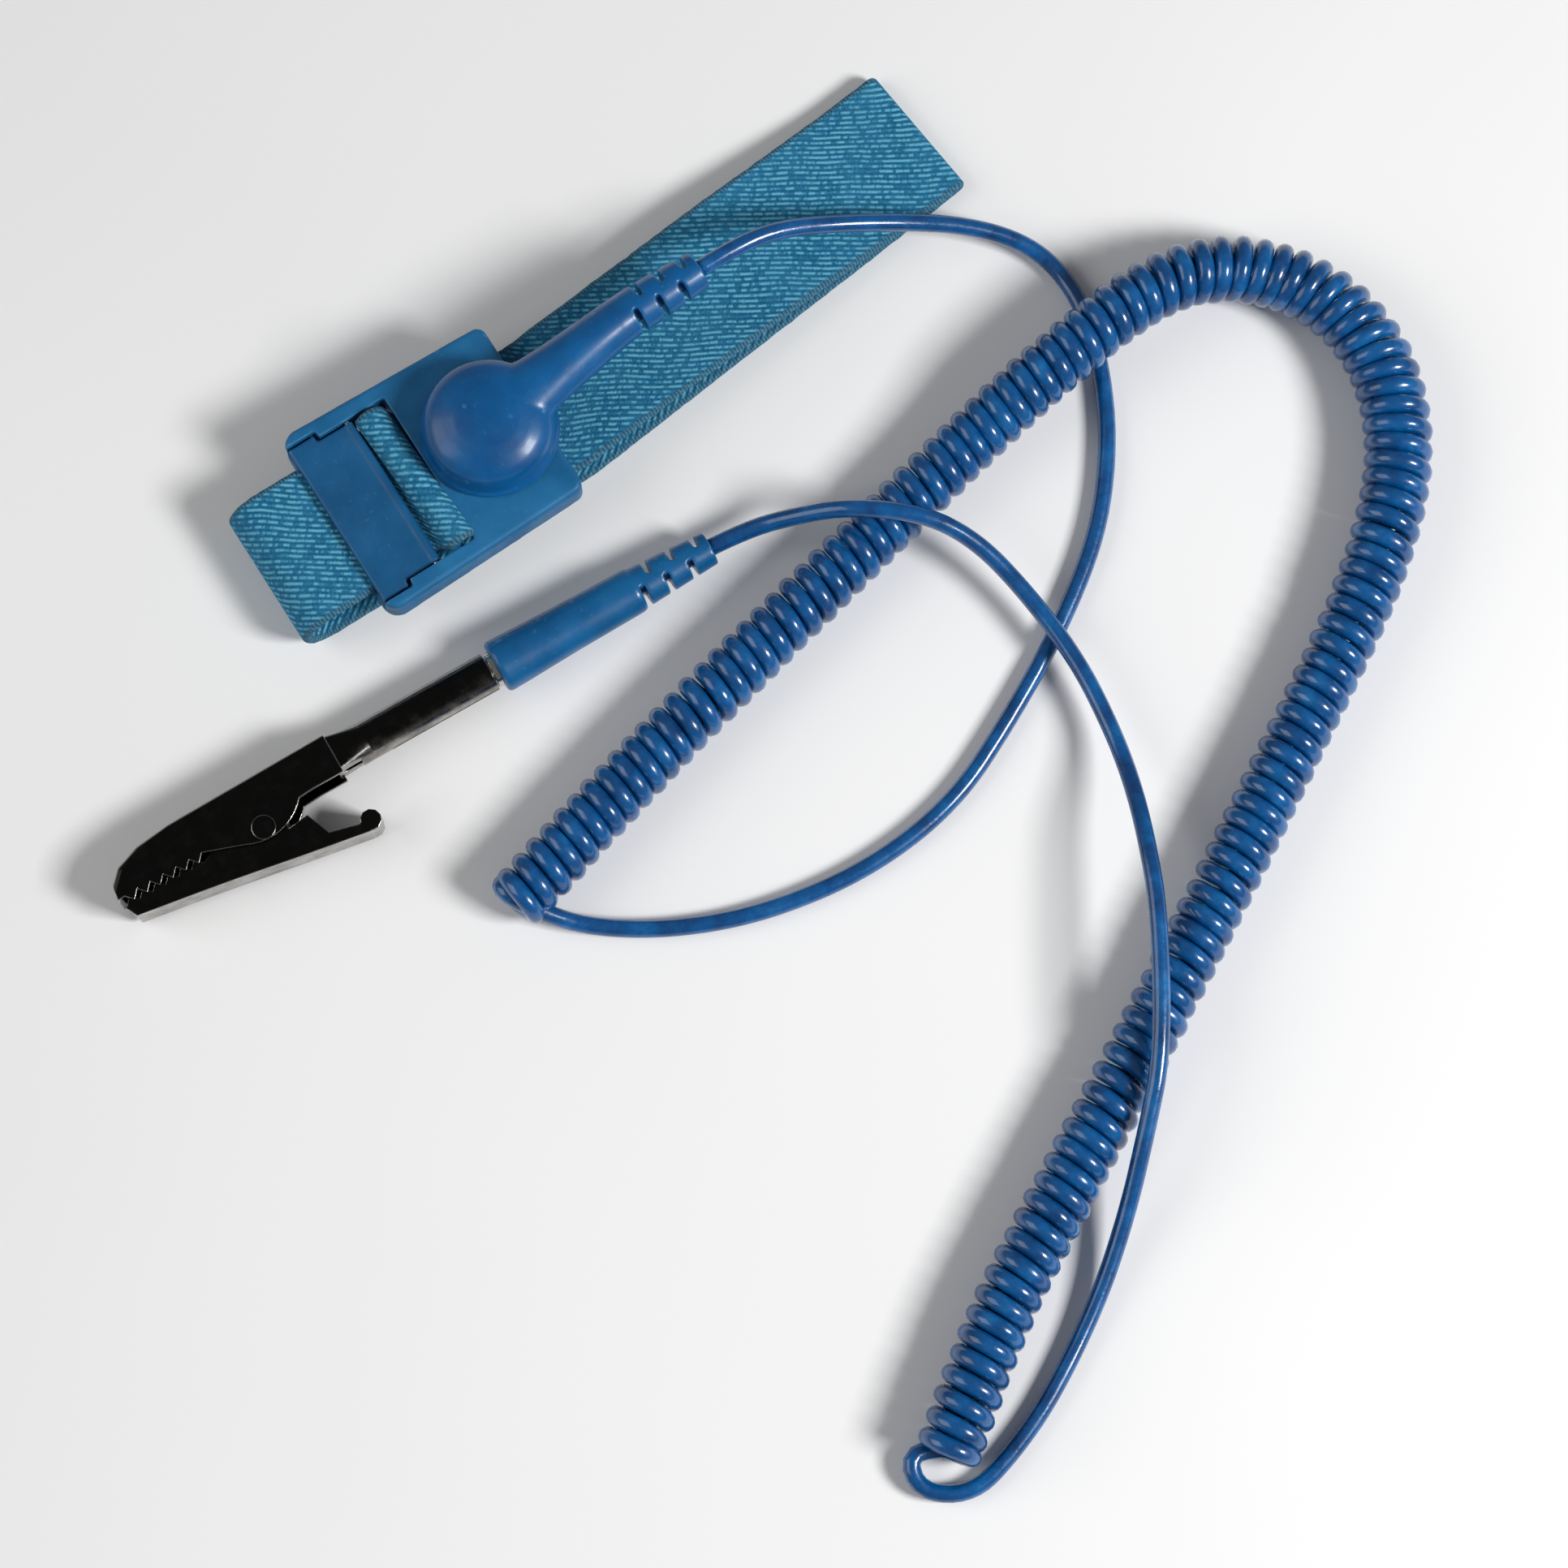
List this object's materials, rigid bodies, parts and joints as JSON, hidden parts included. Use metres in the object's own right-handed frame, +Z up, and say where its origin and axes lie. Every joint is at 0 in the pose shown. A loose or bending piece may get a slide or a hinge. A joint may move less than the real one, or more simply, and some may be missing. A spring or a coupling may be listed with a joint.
{
  "type": "antistatic wrist strap",
  "caption": "Elastic antistatic wrist band with a clamp buckle and press stud, a press-on curly grounding cord, and a banana plug carrying an alligator clip.",
  "frame": {"origin": "on the table, straight under the axis of the press stud, on the underside of the band loop", "axes": "+X along the buckle towards the loop far fold, +Y across the band, +Z up out of the press stud"},
  "size_m": [0.1935, 0.176, 0.02],
  "materials": {
    "elastic_fabric": "heathered woven elastic with a conductive yarn, matt",
    "buckle_plastic": "moulded, fine matt",
    "cord_moulding": "soft satin overmould",
    "cord_jacket": "glossy polyurethane",
    "nickel": "bright nickel plating",
    "stainless": "fine brushed",
    "brass": "turned, bright",
    "tinned_wire": "tinned, bright",
    "resistor_body": "lacquered"
  },
  "bodies": {
    "wristband": {"elastic_band": "elastic_fabric", "buckle_body": "buckle_plastic", "lever_hinge_pin": "stainless", "contact_plate": "stainless", "snap_stud": "nickel", "stud_rivet": "nickel"},
    "clamp_lever": {"clamp_lever": "buckle_plastic"},
    "snap_head": {"snap_cap": "cord_moulding", "snap_socket": "nickel", "snap_spring": "stainless", "series_resistor": "resistor_body", "resistor_lead_inner": "tinned_wire", "resistor_lead_outer": "tinned_wire", "crimp_sleeve": "brass", "head_cord_end": "cord_jacket"},
    "cord_set": {"cord_snap_tail": "cord_jacket", "cord_coil": "cord_jacket", "cord_clip_tail": "cord_jacket", "plug_grip": "cord_moulding", "plug_cord_end": "cord_jacket", "banana_pin": "brass", "banana_spring": "nickel"},
    "clip_frame": {"clip_upper_jaw": "nickel", "clip_pivot_pin": "nickel", "clip_spring": "stainless"},
    "clip_lever": {"clip_lower_jaw": "nickel"}
  },
  "joints": [
    {"name": "lever_open", "type": "hinge", "parent": "wristband", "child": "clamp_lever", "pos_m": [-0.016, 0, 0.01072], "axis": [0, 1, 0], "range_deg": [0, 80]},
    {"name": "snap_swivel", "type": "hinge", "parent": "wristband", "child": "cord_set", "pos_m": [0, 0, 0.012], "axis": [0, 0, 1], "range_deg": [-20, 20]},
    {"name": "snap_release", "type": "slide", "parent": "cord_set", "child": "snap_head", "axis": [0, 0, 1], "range_m": [0, 0.008]},
    {"name": "clip_pull_off", "type": "slide", "parent": "cord_set", "child": "clip_frame", "axis": [-0.9991, 0.0419, 0], "range_m": [0, 0.02]},
    {"name": "jaw_open", "type": "hinge", "parent": "clip_frame", "child": "clip_lever", "pos_m": [-0.0552, -0.02988, 0.004], "axis": [0, 0, 1], "range_deg": [0, 24], "stiffness_Nm_per_rad": 0.06, "springref_deg": -68.75, "deforming": ["clip_spring"]}
  ]
}
